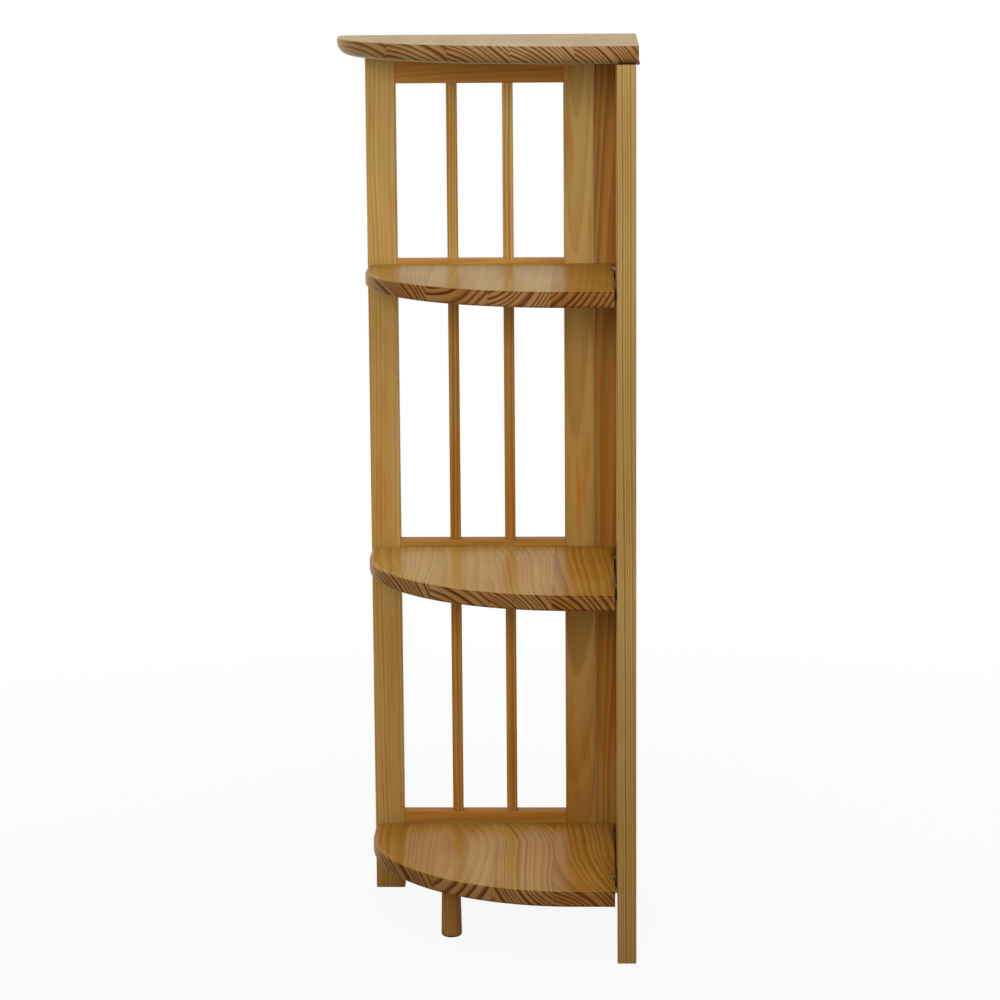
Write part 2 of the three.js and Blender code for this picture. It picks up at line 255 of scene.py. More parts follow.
def pineFinish(name, axes, middle, wood, seed):
    # Solid pine: growth rings round a pith line, cut open by the piece's faces. axes are the
    # numbers of the axes across the board, through it and along the grain.
    finish = Finish(bpy.data.materials.new(name))
    place = finish.split(finish.node("TexCoord", output="Object"))
    normal = finish.split(finish.node("TexCoord", output="Normal"))
    across, depth, along = [place[axis] - middle[axis] for axis in axes]
    fibre = finish.node("CombineXYZ", {0: across, 1: depth, 2: along * 0.02})
    streak = finish.node("CombineXYZ", {0: across, 1: depth, 2: along * 0.12})
    cloud = finish.node("CombineXYZ", {0: across, 1: depth, 2: along * 0.45})

    if "staves" in wood:
        # each stave is a row of numbers; the ramp looks it up by the stave's place
        staves = wood["staves"]
        count = len(staves)
        width = wood["staveWidth"]
        number = finish.maths("FLOOR", (across + wood["staveStart"]) / width)
        lookUp = (number + 0.5) / count
        rows = [
            [(s["pith"] + 0.2, s["depth"] + 0.2, s["tilt"] + 0.5) for s in staves],
            [(s["ring"] * 50, s["tone"], s["contrast"]) for s in staves],
            [(s["rearBend"] + 0.1, s["frontBend"] + 0.1, 0) for s in staves],
        ]
        found = []
        for row in rows:
            stops = [(i / count, numbers) for i, numbers in enumerate(row)]
            found.append(finish.split(finish.node("ValToRGB", {0: lookUp}, stops=stops)))
        first, second, third = found
        pith, below, tilt = first[0] - 0.2, first[1] - 0.2, first[2] - 0.5
        ring, tone, contrast = second[0] / 50, second[1], second[2]
        # the grain swerves behind and in front of the middle of the board
        rear = finish.maths("MAXIMUM", along - swerves["rear"], 0.0) / swerves["rearLength"]
        front = finish.maths("MAXIMUM", swerves["front"] - along, 0.0) / swerves["front"]
        swerve = rear * rear * (third[0] - 0.1) + front * front * (third[1] - 0.1)
        inStave = across + wood["staveStart"] - (number + 0.5) * width - swerve
        phase = number * 3.7
        offset = finish.maths("FRACT", (across + wood["staveStart"]) / width)
        lineStart, lineFull = [0.5 - half / width for half in glueLine]
        glue = finish.between(lineStart, lineFull, abs(offset - 0.5))
        noiseSeed = number * 5.3 + seed
    else:
        pith, below, tilt = wood["pith"], wood["depth"], wood["tilt"]
        ring, contrast = wood["ring"], wood["contrast"]
        # painted shade: the drift makes the piece darker towards its lower end and paler towards
        # its top
        tone = wood["tone"] + along * wood.get("drift", 0.0)
        inStave, phase, glue, noiseSeed = across, 0.0, None, seed

    sway = finish.noise(cloud, grain["swayScale"], noiseSeed, 1.5) - 0.5
    swell = finish.noise(cloud, grain["swellScale"], noiseSeed + 9.1, 1.5) - 0.5
    wobble = wood.get("wobble", 1.0)
    sideways = inStave - pith + sway * (grain["sway"] * wobble)
    upwards = depth + below + along * tilt + swell * (grain["swell"] * wobble)
    radius = finish.maths("SQRT", sideways * sideways + upwards * upwards)
    ripple = finish.noise(streak, grain["rippleScale"], noiseSeed, 2) - 0.5
    rings = radius / ring + phase + ripple * grain["ripple"]
    sockets = {"W": rings * 0.37 + seed, "Detail": 0.0, "Scale": 1.0}
    uneven = finish.node("TexNoise", sockets, noise_dimensions="1D")
    rings = rings + (uneven - 0.5) * grain["unevenYears"]
    within = finish.maths("FRACT", rings)
    sockets = {"W": finish.maths("FLOOR", rings) + seed}
    year = finish.node("TexWhiteNoise", sockets, noise_dimensions="1D")
    edge = 1 - finish.between(*grain["yearEnd"], within)
    late = finish.between(*grain["lateBand"], within) * edge * (0.45 + 0.55 * year)
    lateEnd = finish.between(*grain["lateEndBand"], within) * edge * (0.75 + 0.25 * year)

    thread = finish.noise(fibre, grain["threadScale"], seed, 3, 0.6)
    bloom = finish.noise(streak, grain["bloomScale"], seed + 4.2, 2)
    patch = finish.noise(cloud, grain["patchScale"], seed + 2.7, 2)
    look = pineLook
    cast = wood.get("cast", (1, 1, 1))
    lateColour = wood.get("late", look["late"])
    early, dark = [tuple(a * b for a, b in zip(c, cast)) for c in (look["early"], lateColour)]
    side = finish.mix(late * contrast, early, dark)
    ends = finish.mix(lateEnd, look["endEarly"], look["endLate"])
    endGrain = finish.between(*grain["endGrain"], abs(normal[axes[2]]))
    colour = finish.mix(endGrain, side, ends)
    shade = finish.between(0.25, 0.75, bloom * 0.55 + patch * 0.45) * 0.8 + (thread - 0.5) * 0.5
    shade = shade + tone - 0.4
    clamped = finish.maths("MINIMUM", finish.maths("MAXIMUM", shade, 0.0), 1.0)
    stain = wood.get("stain", 1.0)
    shades = [tuple(c * stain for c in look[key]) for key in ("warmShade", "paleShade")]
    tint = finish.mix(clamped, *shades)
    colour = finish.mix(1.0, colour, tint, "MULTIPLY")
    # resinous streaks along the grain
    spread = finish.noise(streak, grain["resinScale"], seed + 8.4, 2)
    resin = finish.between(*grain["resinBand"], spread) * wood.get("resin", look["resin"])
    colour = finish.mix(1.0, colour, finish.mix(resin, (1, 1, 1), look["resinTint"]), "MULTIPLY")
    spread = finish.noise(fibre, grain["poreScale"], seed + 6.6, 1)
    pores = finish.between(*grain["poreBand"], spread) * (1 - endGrain)
    colour = finish.mix(pores * 0.22, colour, grain["poreColour"])
    if glue is not None:
        colour = finish.mix(glue * 0.4, colour, grain["glueColour"])
    relief = late * 0.35 + thread * 0.4 - pores * 0.5
    sockets = {"Strength": grain["bumpStrength"], "Distance": grain["bumpDistance"]}
    bump = finish.node("Bump", {**sockets, "Height": relief})
    roughness = wood.get("roughness", look["roughness"])
    coat = wood.get("coat", look["coat"])
    shader = finish.node(
        "BsdfPrincipled",
        {
            "Base Color": colour,
            "Roughness": roughness + (thread - 0.5) * 0.14 + endGrain * 0.12,
            "Specular IOR Level": look["specular"],
            "Coat Weight": coat * (1 - endGrain * 0.9),
            "Coat Roughness": wood.get("coatRoughness", look["coatRoughness"]),
            "Normal": bump,
        },
    )
    return finish.close(shader)


def metalFinish(name, bright, dull, roughness, seed):
    # plated metal with duller, darker patches and fine scratches
    finish = Finish(bpy.data.materials.new(name))
    place = finish.node("TexCoord", output="Object")
    x, y, z = finish.split(place)
    stretched = finish.node("CombineXYZ", {0: x * 0.2, 1: y, 2: z})
    patch = finish.between(0.42, 0.62, finish.noise(place, 160, seed, 4, 0.6))
    scratch = finish.noise(stretched, 3500, seed, 2)
    bump = finish.node("Bump", {"Strength": 0.2, "Distance": 0.0001, "Height": scratch})
    shader = finish.node(
        "BsdfPrincipled",
        {
            "Base Color": finish.mix(patch * 0.8, bright, dull),
            "Metallic": 0.97 - patch * 0.15,
            "Roughness": roughness + patch * 0.18 + (scratch - 0.5) * 0.1,
            "Normal": bump,
        },
    )
    return finish.close(shader)


brass = metalFinish("hingeBrass", (0.155, 0.092, 0.030), (0.050, 0.030, 0.012), 0.42, 1.0)
steel = metalFinish("fastenerSteel", (0.60, 0.60, 0.58), (0.32, 0.31, 0.29), 0.32, 2.0)


# Modelling


def deselectAll():
    if bpy.context.object and bpy.context.object.mode != "OBJECT":
        bpy.ops.object.mode_set(mode="OBJECT")
    bpy.ops.object.select_all(action="DESELECT")


def activate(piece):
    deselectAll()
    piece.select_set(True)
    bpy.context.view_layer.objects.active = piece


def settle(name):
    # names the new primitive and puts its place into its mesh
    piece = bpy.context.object
    piece.name = piece.data.name = name
    bpy.ops.object.transform_apply(location=True, rotation=True, scale=True)
    return piece


def addBlock(name, low, high):
    deselectAll()
    low, high = Vector(low), Vector(high)
    bpy.ops.mesh.primitive_cube_add(size=1, location=(low + high) / 2)
    bpy.context.object.scale = high - low
    return settle(name)


def addRod(name, middle, radius, length, axis, sides=32):
    deselectAll()
    rotation = [(0, math.pi / 2, 0), (math.pi / 2, 0, 0), (0, 0, 0)][axis]
    bpy.ops.mesh.primitive_cylinder_add(
        vertices=sides, radius=radius, depth=length, location=middle, rotation=rotation
    )
    return settle(name)


def editEdges(piece, test):
    # opens the piece with the edges selected whose two ends pass the test
    activate(piece)
    bpy.ops.object.mode_set(mode="EDIT")
    bpy.ops.mesh.select_mode(type="EDGE")
    bpy.ops.mesh.select_all(action="DESELECT")
    bpy.ops.object.mode_set(mode="OBJECT")
    points = piece.data.vertices
    for edge in piece.data.edges:
        edge.select = test(points[edge.vertices[0]].co, points[edge.vertices[1]].co)
    bpy.ops.object.mode_set(mode="EDIT")


def editFaces(piece, test):
    activate(piece)
    bpy.ops.object.mode_set(mode="EDIT")
    bpy.ops.mesh.select_mode(type="FACE")
    bpy.ops.mesh.select_all(action="DESELECT")
    bpy.ops.object.mode_set(mode="OBJECT")
    for face in piece.data.polygons:
        face.select = test(face)
    bpy.ops.object.mode_set(mode="EDIT")


def bevelEdges(piece, test, width, segments):
    editEdges(piece, test)
    bpy.ops.mesh.bevel(offset=width, segments=segments, affect="EDGES")
    bpy.ops.object.mode_set(mode="OBJECT")


def near(a, b, gap=1e-5):
    return abs(a - b) < gap


def joined(pieces):
    deselectAll()
    for piece in pieces:
        piece.select_set(True)
    bpy.context.view_layer.objects.active = pieces[0]
    if len(pieces) > 1:
        bpy.ops.object.join()
    return pieces[0]


def combine(piece, others, operation="DIFFERENCE"):
    # cuts the other shapes out of the piece, or unites them with it
    other = joined(others)
    modifier = piece.modifiers.new("combine", "BOOLEAN")
    modifier.object = other
    modifier.operation = operation
    modifier.solver = "EXACT"
    activate(piece)
    bpy.ops.object.modifier_apply(modifier=modifier.name)
    bpy.data.objects.remove(other)
    return piece


def smoothen(piece, angle=40):
    activate(piece)
    bpy.ops.object.shade_smooth_by_angle(angle=math.radians(angle))
    modifier = piece.modifiers.new("normals", "WEIGHTED_NORMAL")
    modifier.keep_sharp = True
    bpy.ops.object.modifier_apply(modifier=modifier.name)
    return piece


def pieceName(node):
    first, *rest = node.split("_")
    return first + "".join(word.capitalize() for word in rest)


def copied(master, node, matrix):
    # a copy of the master with its own mesh, put in its place
    piece = master.copy()
    piece.data = master.data.copy()
    piece.name = piece.data.name = pieceName(node)
    bpy.context.scene.collection.objects.link(piece)
    piece.data.transform(matrix)
    return piece


def dress(piece, node, material):
    piece.data.materials.clear()
    piece.data.materials.append(material)
    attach(piece, bodyOf[node])
    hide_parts(node)


# Where the hinges are

hinge = {
    "knuckleRadius": 0.0023,
    "leafThickness": 0.0011,
    "leafGap": 0.0003,
    "leafWidth": 0.016,
    "pinRise": 0.0025,
    "pinOut": 0.0024,
    "pinRadius": 0.0012,
    "pinFit": 0.0002,
    "boreRadius": 0.00135,
    "knuckles": 5,
    "endPlay": 0.0003,
    "cornerRound": 0.0012,
    "seat": 0.0001,
    "play": 0.0003,
    "edgeEase": 0.0002,
    "sides": 28,
    "pinSides": 24,
    "headRadius": 0.0024,
    "headThickness": 0.0006,
    "sinkPlay": 0.0002,
    "slotHalf": Vector((0.0003, 0.00025, 0.0021)),
}
shelfHinge = {"length": 0.038, "spacing": 0.022}
cornerHinge = {"length": 0.030, "spacing": 0.016}
hingeRoom = 2 * (hinge["leafThickness"] + hinge["seat"]) + hinge["leafGap"]
xAxis, yAxis, zAxis = Vector((1, 0, 0)), Vector((0, 1, 0)), Vector((0, 0, 1))
hinges = []


def placeHinge(name, pin, plain, axes, place, size, pockets=None):
    # the pin runs along the second axis, and the leaves hang down the third
    matrix = Matrix(axes).transposed().to_4x4()
    matrix.translation = place
    placed = {"matrix": matrix, "pockets": pockets or {}, **size}
    hinges.append({"pin": f"{name}_{pin}_leaf", "plain": f"{name}_{plain}_leaf", **placed})


def middleOf(node):
    low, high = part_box(node)
    return (low + high) / 2


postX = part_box("corner_post")[0].x
cornerDepth = (hingeRoom - (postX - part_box("back_frame_corner_stile")[1].x)) / 2
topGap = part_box("top_board")[0].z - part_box("side_frame_top_rail")[1].z
topDepth = (hingeRoom - topGap) / 2
for level in levels:
    for side in ("rear", "front"):
        name = f"{level}_shelf_{side}_hinge"
        y = middleOf(f"{name}_frame_leaf").y
        place = (cornerX - hinge["pinOut"], y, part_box(f"{level}_shelf")[1].z + hinge["pinRise"])
        placeHinge(name, "frame", "shelf", (xAxis, yAxis, zAxis), place, shelfHinge)
    name = f"{level}_corner_hinge"
    z = middleOf(f"{name}_post_leaf").z
    place = (postX + cornerDepth - hinge["pinOut"], cornerY - hinge["pinRise"], z)
    pockets = {"corner_post": "pin", "back_frame_corner_stile": "plain"}
    placeHinge(name, "post", "frame", (xAxis, zAxis, -yAxis), place, cornerHinge, pockets)
for side in ("rear", "front"):
    name = f"top_{side}_hinge"
    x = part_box(f"{name}_board_leaf")[1].x - hinge["knuckleRadius"]
    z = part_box("top_board")[0].z + topDepth - hinge["pinOut"]
    place = (x, middleOf(f"{name}_board_leaf").y, z)
    pockets = {"top_board": "pin", "side_frame_top_rail": "plain"}
    placeHinge(name, "board", "frame", (zAxis, -yAxis, xAxis), place, shelfHinge, pockets)


def cutPockets(piece, node):
    # lets the hinges' leaves into the wood, and on the top board their knuckles too
    play = hinge["play"]
    for placed in hinges:
        kind = placed["pockets"].get(node)
        if not kind:
            continue
        end = placed["length"] / 2 + play
        far = hinge["pinOut"] if kind == "pin" else hinge["pinOut"] - hingeRoom
        sides = sorted((far, far + (-hingeRoom if kind == "pin" else hingeRoom)))
        bottom = -(hinge["pinRise"] + hinge["leafWidth"] + play)
        pocket = addBlock("pocket", (sides[0], -end, bottom), (sides[1], end, 0))
        pocket.data.transform(placed["matrix"])
        combine(piece, [pocket])
        if node == "top_board":
            notch = addRod("notch", (0, 0, 0), hinge["knuckleRadius"] + play, 2 * end, 1)
            notch.data.transform(placed["matrix"])
            combine(piece, [notch])


# Frames

joint = {
    "tenon": 0.014,
    "tenonThickness": 0.008,
    "shoulder": 0.005,
    "play": 0.0003,
    "pegRadius": 0.003,
    "cornerGap": 0.0001,
}
stileShape = {"ease": 0.002, "endEase": 0.0006}
railShape = {"ease": 0.0015}
spindleShape = {"ease": 0.002, "endEase": 0.0003}
postShape = {"ease": 0.001, "endEase": 0.0005}


def easedBar(name, low, high, axis, ease, endEase=0.0):
    # a square bar with its long edges rounded, and its ends slightly
    bar = addBlock(name, low, high)
    sides = [i for i in range(3) if i != axis]
    bevelEdges(bar, lambda a, b: all(near(a[i], b[i]) for i in sides), ease, segments=4)
    if endEase:
        ends = (low[axis], high[axis])
        atEnd = lambda a, b: any(near(a[axis], e) and near(b[axis], e) for e in ends)
        bevelEdges(bar, atEnd, endEase, segments=2)
    return bar


def tenonBoxes(node, axis, thin):
    # the two boxes that a rail's tenons fill, and the box between its shoulders
    low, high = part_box(node)
    middle = (low + high) / 2
    bodyLow, bodyHigh = low.copy(), high.copy()
    bodyLow[axis] += joint["tenon"]
    bodyHigh[axis] -= joint["tenon"]
    boxes = []
    for start, end in ((low[axis], bodyLow[axis]), (bodyHigh[axis], high[axis])):
        first, last = low.copy(), high.copy()
        first[axis], last[axis] = start, end
        first[thin] = middle[thin] - joint["tenonThickness"] / 2
        last[thin] = middle[thin] + joint["tenonThickness"] / 2
        first.z += joint["shoulder"]
        last.z -= joint["shoulder"]
        boxes.append((first, last))
    return boxes, (bodyLow, bodyHigh)


def grown(box, play):
    low, high = box
    return low - Vector((play,) * 3), high + Vector((play,) * 3)


def addTenon(rail, section, axis, outward, box):
    # the end face is drawn in from the rail's section to the tenon's and pulled out to its length
    low, high = box
    end = low if outward > 0 else high
    editFaces(rail, lambda face: face.normal[axis] * outward > 0.9)
    bpy.ops.mesh.extrude_region_move()
    scale = [1.0, 1.0, 1.0]
    middle = (low + high) / 2
    middle[axis] = end[axis]
    for i in range(3):
        if i != axis:
            scale[i] = (high[i] - low[i]) / (section[1][i] - section[0][i])
    bpy.ops.transform.resize(value=scale, center_override=middle)
    move = Vector()
    move[axis] = outward * (high[axis] - low[axis])
    bpy.ops.mesh.extrude_region_move(TRANSFORM_OT_translate={"value": move})
    bpy.ops.object.mode_set(mode="OBJECT")


# what each piece's wood looks like: the pith's place beside and under the piece, how it tilts
# along the grain, the rings' width, tone from dark to pale, the painted shade drift that makes
# the piece paler up its length and darker towards the bottom, contrast, and where they differ
# from pineLook the stain, cast, resin and wobble
stileWood = {
    "back_frame_outer_stile": {
        "pith": -0.060,
        "depth": 0.030,
        "tilt": 0.012,
        "ring": 0.0046,
        "tone": 0.62,
        "drift": 0.70,
        "contrast": 0.50,
        "stain": 0.94,
        "resin": 0.6,
    },
    "back_frame_corner_stile": {
        "pith": -0.004,
        "depth": 0.046,
        "tilt": -0.045,
        "ring": 0.0085,
        "tone": 0.54,
        "drift": 0.50,
        "contrast": 0.50,
        "stain": 0.92,
        "resin": 1.0,
    },
    "side_frame_front_stile": {
        "pith": 0.012,
        "depth": -0.150,
        "tilt": 0.004,
        "ring": 0.0029,
        "tone": 0.60,
        "drift": 0.50,
        "contrast": 0.95,
        "stain": 0.74,
        "cast": (0.96, 0.98, 1.12),
        "wobble": 0.4,
    },
    "side_frame_rear_stile": {
        "pith": 0.030,
        "depth": 0.060,
        "tilt": 0.012,
        "ring": 0.0050,
        "tone": 0.55,
        "drift": 0.2,
        "contrast": 0.55,
    },
    # the post's low tone paints it darker and redder, partly its own redder wood and partly
    # painted shade in the inside corner
    "corner_post": {
        "pith": 0.020,
        "depth": 0.045,
        "tilt": 0.016,
        "ring": 0.0060,
        "tone": 0.04,
        "drift": 0.1,
        "contrast": 0.75,
        "stain": 0.87,
        "resin": 0.6,
    },
}
railWood = {"pith": 0.030, "depth": 0.060, "tilt": 0.02, "ring": 0.0045, "contrast": 0.50}
spindleWood = {
    "pith": -0.045,
    "depth": 0.030,
    "tilt": 0.004,
    "ring": 0.0046,
    "contrast": 0.85,
    "wobble": 0.5,
}
# painted light and shade on the rails: the top rail is darker and warmer as painted shade under
# the top board, the upper rail lighter as painted bounce light from the upper shelf
barLightAndShadeTones = {"top": 0.12, "upper": 0.24, "middle": 0.04, "lower": 0.14}
barLightAndShadeStains = {"top": 1.19, "upper": 1.24, "middle": 0.98, "lower": 1.10}
# painted shade on the spindles: the lower bays are darker and warmer than the top bay, with a
# little tone that differs at random
bayShadeTones = {"top_bay": 0.66, "middle_bay": 0.20, "bottom_bay": 0.10}
bayShadeStains = {"top_bay": 1.12, "middle_bay": 1.0, "bottom_bay": 1.12}
bays = ["top_bay", "middle_bay", "bottom_bay"]
railLevels = ["top", "upper", "middle", "lower"]
frames = {
    "back_frame": {"run": 0, "thin": 1, "stiles": ["outer", "corner"]},
    "side_frame": {"run": 1, "thin": 0, "stiles": ["front", "rear"]},
}


seed = 0.0
for frameName, part in frames.items():
    print("modelling the", frameName.replace("_", " "))
    run, thin = part["run"], part["thin"]
    tenons, spindles = [], []
    for level in railLevels:
        tenons += tenonBoxes(f"{frameName}_{level}_rail", run, thin)[0]
    for bay in bays:
        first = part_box(f"{frameName}_{bay}_{part['stiles'][0]}_spindle")
        master = smoothen(easedBar("spindleMaster", *first, 2, **spindleShape))
        for side in part["stiles"]:
            node = f"{frameName}_{bay}_{side}_spindle"
            spindles.append(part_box(node))
            low, high = spindles[-1]
            bar = copied(master, node, Matrix.Translation(low - first[0]))
            seed += 1.7
            tone = bayShadeTones[bay] + 0.06 * math.sin(seed * 2.1)
            wood = dict(spindleWood, tone=tone, stain=bayShadeStains[bay])
            middle = (low + high) / 2
            finish = pineFinish(pieceName(node), (run, thin, 2), middle, wood, seed)
            dress(bar, node, finish)
        bpy.data.objects.remove(master)
    for level in railLevels:
        node = f"{frameName}_{level}_rail"
        boxes, (low, high) = tenonBoxes(node, run, thin)
        rail = easedBar(pieceName(node), low, high, run, **railShape)
        addTenon(rail, (low, high), run, -1, boxes[0])
        addTenon(rail, (low, high), run, 1, boxes[1])
        cutters = [grown(box, joint["play"]) for box in spindles]
        cutters = [c for c in cutters if c[0].z < high.z and c[1].z > low.z]
        combine(rail, [addBlock("cutter", *c) for c in cutters])
        cutPockets(rail, node)
        seed += 1.7
        tone = barLightAndShadeTones[level] + 0.05 * math.sin(seed * 1.3)
        wood = dict(railWood, tone=tone, stain=barLightAndShadeStains[level])
        middle = (low + high) / 2
        finish = pineFinish(pieceName(node), (2, thin, run), middle, wood, seed)
        dress(smoothen(rail), node, finish)
    for side in part["stiles"]:
        node = f"{frameName}_{side}_stile"
        low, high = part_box(node)
        if node == "back_frame_corner_stile":
            high.x = postX - joint["cornerGap"]
        stile = easedBar(pieceName(node), low, high, 2, **stileShape)
        cutters = [
            addBlock("cutter", *grown(box, joint["play"]))
            for box in tenons
            if low[run] < (box[0][run] + box[1][run]) / 2 < high[run]
        ]
        if frameName == "back_frame":
            for level in levels:
                pegLow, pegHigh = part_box(f"{level}_shelf_{side}_peg")
                radius = joint["pegRadius"] + joint["play"]
                length = pegHigh.y - pegLow.y + 2 * joint["play"]
                cutters.append(addRod("cutter", (pegLow + pegHigh) / 2, radius, length, 1))
        combine(stile, cutters)
        cutPockets(stile, node)
        seed += 1.7
        middle = (low + high) / 2
        finish = pineFinish(pieceName(node), (run, thin, 2), middle, stileWood[node], seed)
        dress(smoothen(stile), node, finish)

low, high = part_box("corner_post")
high.x = cornerX  # glued to the frame
post = easedBar("cornerPost", low, high, 2, **postShape)
cutPockets(post, "corner_post")
finish = pineFinish("cornerPost", (0, 1, 2), (low + high) / 2, stileWood["corner_post"], 77.0)
dress(smoothen(post), "corner_post", finish)


# Boards

print("modelling the boards")
topShape = {"corner": 0.300, "backCorner": 0.019, "upper": 0.002, "lower": 0.016}
shelfShape = {"corner": 0.250, "backCorner": 0.0075, "upper": 0.0045, "lower": 0.0045}
boardSteps = {"corner": 44, "edge": 8}
boltHole = {"radius": 0.0033, "play": 0.0006}


def stave(pith, depth, tilt, ring, tone, contrast, rearBend=0, frontBend=0):
    return {
        "pith": pith / 1000,
        "depth": depth / 1000,
        "tilt": tilt,
        "ring": ring / 1000,
        "tone": tone,
        "contrast": contrast,
        "rearBend": rearBend / 1000,
        "frontBend": frontBend / 1000,
    }


# the staves of each board from left to right; pith, depth, ring and bends in millimetres
boardWood = {
    "top_board": [
        stave(-20, 90, 0.02, 6.5, 0.60, 0.30),
        stave(-40, 95, 0.02, 7.0, 0.62, 0.30),
        stave(-55, 85, 0.01, 5.0, 0.60, 0.30),
        stave(-65, 85, -0.02, 4.6, 0.66, 0.30),
        stave(-80, 80, 0.03, 4.6, 0.58, 0.30),
    ],
    "upper_shelf": [
        stave(-40, 60, 0.00, 5.0, 0.15, 0.40),
        stave(-70, 60, 0.04, 4.2, 0.30, 0.50),
        stave(-34, -58, 0.02, 9.0, 0.46, 0.25),
        stave(-50, -50, 0.01, 6.0, 0.44, 0.25),
        stave(-85, -70, 0.02, 6.6, 0.06, 0.45),
    ],
    "middle_shelf": [
        stave(-40, 60, 0.00, 5.0, 0.16, 0.50),
        stave(-60, 60, 0.02, 5.0, 0.28, 0.50, 0, -12),
        stave(-50, 90, 0.03, 8.0, 0.40, 0.45),
        stave(-62, 60, 0.03, 4.0, 0.50, 0.55, -6, 4),
        stave(-80, 72, 0.02, 6.6, 0.08, 0.75, 0, 4),
    ],
    "lower_shelf": [
        stave(-40, 60, 0.00, 5.0, 0.14, 0.80),
        stave(-80, 62, 0.04, 6.0, 0.24, 0.62, 6, -8),
        stave(-66, -60, -0.02, 13.0, 0.30, 0.50, -16, -14),
        stave(66, -62, 0.02, 5.0, 0.35, 0.85, -20, 0),
        stave(-86, 78, 0.02, 5.4, 0.10, 0.95, -4, 30),
    ],
}
staveWidth = 0.0722
topLook = {"roughness": 0.6, "coat": 0.80, "coatRoughness": 0.5, "stain": 1.02, "resin": 0.1}
shelfLook = {
    "coat": 0.10,
    "coatRoughness": 0.14,
    "stain": 0.965,
    "resin": 0.15,
    "late": (0.295, 0.146, 0.006),
}
# the shelves' casts change by height as painted light and shade: paler and greener higher up
# where the sheen is, warmer and darker on the lower shelf; the top board's cast is its own colour
boardCastsAndShade = {
    "top_board": (0.75, 0.80, 0.73),
    "upper_shelf": (1.0, 1.09, 1.0),
    "middle_shelf": (1.04, 1.09, 0.98),
    "lower_shelf": (0.97, 0.98, 0.91),
}


def shapeBoard(name, node, corner, backCorner, upper, lower):
    # a slab with its front left corner swung round, then moulded along the front and the left
    low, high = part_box(node)
    board = addBlock(name, low, high)
    upright = lambda x, y: lambda a, b: all(near(p.x, x) and near(p.y, y) for p in (a, b))
    bevelEdges(board, upright(low.x, low.y), corner, boardSteps["corner"])
    bevelEdges(board, upright(low.x, high.y), backCorner, boardSteps["edge"])
    for z, width in ((high.z, upper), (low.z, lower)):

        def moulded(a, b, z=z):
            flat = near(a.z, z) and near(b.z, z)
            right = near(a.x, high.x) and near(b.x, high.x)
            back = near(a.y, high.y) and near(b.y, high.y)
            return flat and not right and not back

        bevelEdges(board, moulded, width, boardSteps["edge"])
    return board


def boltCutter():
    low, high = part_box("leg_bolt")
    length = high.z - low.z + boltHole["play"]
    return addRod("cutter", (low + high) / 2, boltHole["radius"], length, 2)


seed = 100.0
for node, staves in boardWood.items():
    low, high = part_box(node)
    isTop = node == "top_board"
    board = shapeBoard(pieceName(node), node, **(topShape if isTop else shelfShape))
    cutPockets(board, node)
    if node == "lower_shelf":
        combine(board, [boltCutter()])
    seed += 6.1
    wood = {
        "staves": staves,
        "staveWidth": staveWidth,
        "staveStart": len(staves) * staveWidth - (high.x - low.x) / 2,
        "cast": boardCastsAndShade[node],
        **(topLook if isTop else shelfLook),
    }
    middle = Vector(((low.x + high.x) / 2, low.y, (low.z + high.z) / 2))
    finish = pineFinish(pieceName(node), (0, 2, 1), middle, wood, seed)
    dress(smoothen(board), node, finish)


# Leg and fasteners

print("modelling the leg and the fasteners")
legShape = {
    "bottomRadius": 0.0125,
    "topRadius": 0.0113,
    "round": 0.004,
    "topEase": 0.0004,
    "sides": 56,
}
# the leg is stained darker, partly its own wood and partly painted shade under the lower shelf,
# and its cast adds blue as painted bounce light from the floor
legWood = {
    "pith": -0.030,
    "depth": 0.020,
    "tilt": 0.01,
    "ring": 0.0030,
    "tone": 0.34,
    "contrast": 0.95,
    "stain": 0.74,
    "cast": (1.04, 0.94, 1.05),
}
low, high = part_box("leg")
middle = (low + high) / 2
leg = addRod("turnedLeg", middle, legShape["bottomRadius"], high.z - low.z, 2, legShape["sides"])
editFaces(leg, lambda face: face.normal.z > 0.9)
ratio = legShape["topRadius"] / legShape["bottomRadius"]
topMiddle = (middle.x, middle.y, high.z)
bpy.ops.transform.resize(value=(ratio, ratio, 1), center_override=topMiddle)
bpy.ops.object.mode_set(mode="OBJECT")
atLevel = lambda z: lambda a, b: near(a.z, z) and near(b.z, z)
bevelEdges(leg, atLevel(low.z), legShape["round"], segments=6)
bevelEdges(leg, atLevel(high.z), legShape["topEase"], segments=2)
combine(leg, [boltCutter()])
dress(smoothen(leg), "leg", pineFinish("leg", (0, 1, 2), middle, legWood, 88.0))
frame["nodes"]["leg_bolt"].data.materials.clear()
frame["nodes"]["leg_bolt"].data.materials.append(steel)

pegShape = {"radius": 0.003, "endRound": 0.0008}
pegs = [f"{level}_shelf_{side}_peg" for level in levels for side in ("outer", "corner")]
low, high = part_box(pegs[0])
master = addRod("pegMaster", (0, 0, 0), pegShape["radius"], high.y - low.y, 1, 32)
bevelEdges(master, lambda a, b: near(a.y, b.y), pegShape["endRound"], segments=3)
smoothen(master)
for node in pegs:
    peg = copied(master, node, Matrix.Translation(middleOf(node)))
    dress(peg, node, steel)
bpy.data.objects.remove(master)


# Hinges


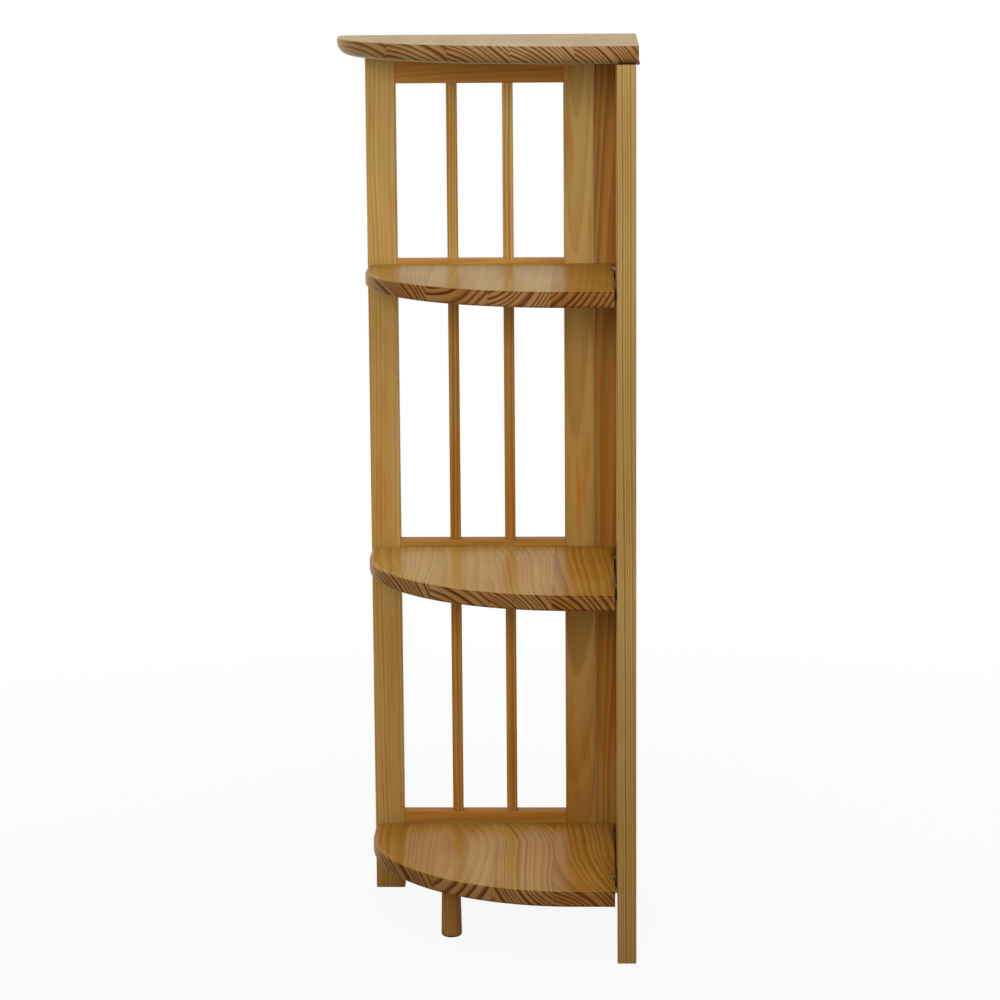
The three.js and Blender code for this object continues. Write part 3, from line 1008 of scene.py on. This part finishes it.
def makeLeaf(name, length, spacing, withPin):
    # a leaf with its knuckles round the y axis, hanging down; the pin's leaf is on the right
    radius, thick, gap = hinge["knuckleRadius"], hinge["leafThickness"], hinge["leafGap"]
    left = radius - thick if withPin else radius - 2 * thick - gap
    right = left + thick
    bottom = -(hinge["pinRise"] + hinge["leafWidth"])
    top = -(radius + gap)
    leaf = addBlock(name, (left, -length / 2, bottom), (right, length / 2, top))
    lowEdges = lambda a, b: near(a.z, bottom) and near(b.z, bottom) and near(a.y, b.y)
    bevelEdges(leaf, lowEdges, hinge["cornerRound"], segments=4)
    pitch = (length + hinge["endPlay"]) / hinge["knuckles"]
    sides, pinSides = hinge["sides"], hinge["pinSides"]
    barrel = []
    for i in range(0 if withPin else 1, hinge["knuckles"], 2):
        start = i * pitch - length / 2
        end = start + pitch - hinge["endPlay"]
        barrel.append(addBlock("strap", (left, start, top - 0.001), (right, end, 0)))
        rod = addRod("knuckle", (0, (start + end) / 2, 0), radius, end - start, 1, sides)
        bevelEdges(rod, lambda a, b: near(a.y, b.y), hinge["edgeEase"], segments=2)
        barrel.append(rod)
    for shape in barrel:
        combine(leaf, [shape], "UNION")
    combine(leaf, [addRod("bore", (0, 0, 0), hinge["boreRadius"], length + 0.002, 1, pinSides)])
    if withPin:
        # the riveted pin fills the bores
        fit = hinge["pinFit"]
        pin = addRod("pin", (0, 0, 0), hinge["pinRadius"] + fit, length - fit, 1, pinSides)
        combine(leaf, [pin], "UNION")
    inner = left if withPin else right
    inward = -1 if withPin else 1
    for y in (-spacing / 2, spacing / 2):
        z = -(hinge["pinRise"] + hinge["leafWidth"] / 2)
        sinkRadius = hinge["headRadius"] + hinge["sinkPlay"]
        sinkDepth = hinge["headThickness"] + hinge["sinkPlay"]
        combine(leaf, [addRod("sink", (inner, y, z), sinkRadius, sinkDepth, 0, sides)])
        middle = Vector((inner - inward * 0.0004, y, z))
        head = addRod("head", middle, hinge["headRadius"], hinge["headThickness"], 0, sides)
        middle = Vector((inner - inward * 0.0001, y, z))
        slot = hinge["slotHalf"]
        for size in (slot, Vector((slot.x, slot.z, slot.y))):
            combine(head, [addBlock("slot", middle - size, middle + size)])
        combine(leaf, [head], "UNION")
    return smoothen(leaf, 30)


print("modelling the hinges")
sizes = {(h["length"], h["spacing"]) for h in hinges}
masters = {
    (length, kind): makeLeaf(kind + "Master", length, spacing, kind == "pin")
    for length, spacing in sorted(sizes)
    for kind in ("pin", "plain")
}
for placed in hinges:
    for kind in ("pin", "plain"):
        leaf = copied(masters[placed["length"], kind], placed[kind], placed["matrix"])
        dress(leaf, placed[kind], brass)
for master in masters.values():
    bpy.data.objects.remove(master)


# Floor and surroundings


def seenRays(finish):
    # 1 where the camera sees the surface, or sees it mirrored or through glass
    seen = finish.node("LightPath", output="Is Camera Ray")
    for kind in ("Is Glossy Ray", "Is Transmission Ray"):
        seen = finish.maths("MAXIMUM", seen, finish.node("LightPath", output=kind))
    return seen


# near the object part of the floor is lit paper, which takes the shadow; further off it is white
floorLook = {"size": 400, "colour": (0.60, 0.60, 0.60), "nearGlow": 0.92, "near": 0.3, "far": 2.0}
deselectAll()
bpy.ops.mesh.primitive_plane_add(size=floorLook["size"], location=(0, 0, 0))
floor = settle("floor")
finish = Finish(bpy.data.materials.new("floor"))
paper = finish.node(
    "BsdfPrincipled",
    {"Base Color": (*floorLook["colour"], 1), "Roughness": 0.8, "Specular IOR Level": 0.1},
)
white = finish.node("Emission", {0: (1, 1, 1, 1), 1: 1.0})
spot = finish.split(finish.node("TexCoord", output="Object"))
distance = finish.maths("SQRT", spot[0] * spot[0] + spot[1] * spot[1])
fade = finish.between(floorLook["near"], floorLook["far"], distance)
glow = floorLook["nearGlow"] + fade * (1 - floorLook["nearGlow"])
shown = finish.node("MixShader", {0: seenRays(finish) * glow, 1: paper, 2: white})
floor.data.materials.append(finish.close(shown))
floor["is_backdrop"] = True

surroundings = {"light": 0.36, "shown": 1.0}
bpy.context.scene.world = bpy.data.worlds.new("studio")
finish = Finish(bpy.context.scene.world)
extra = surroundings["shown"] - surroundings["light"]
strength = surroundings["light"] + seenRays(finish) * extra
sky = finish.node("Background", {0: (1, 1, 1, 1), 1: strength})
finish.close(sky, "OutputWorld")

print("measuring")
sizes = {"cad": [list(p) for p in cadBox], "visual": [list(p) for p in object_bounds()]}
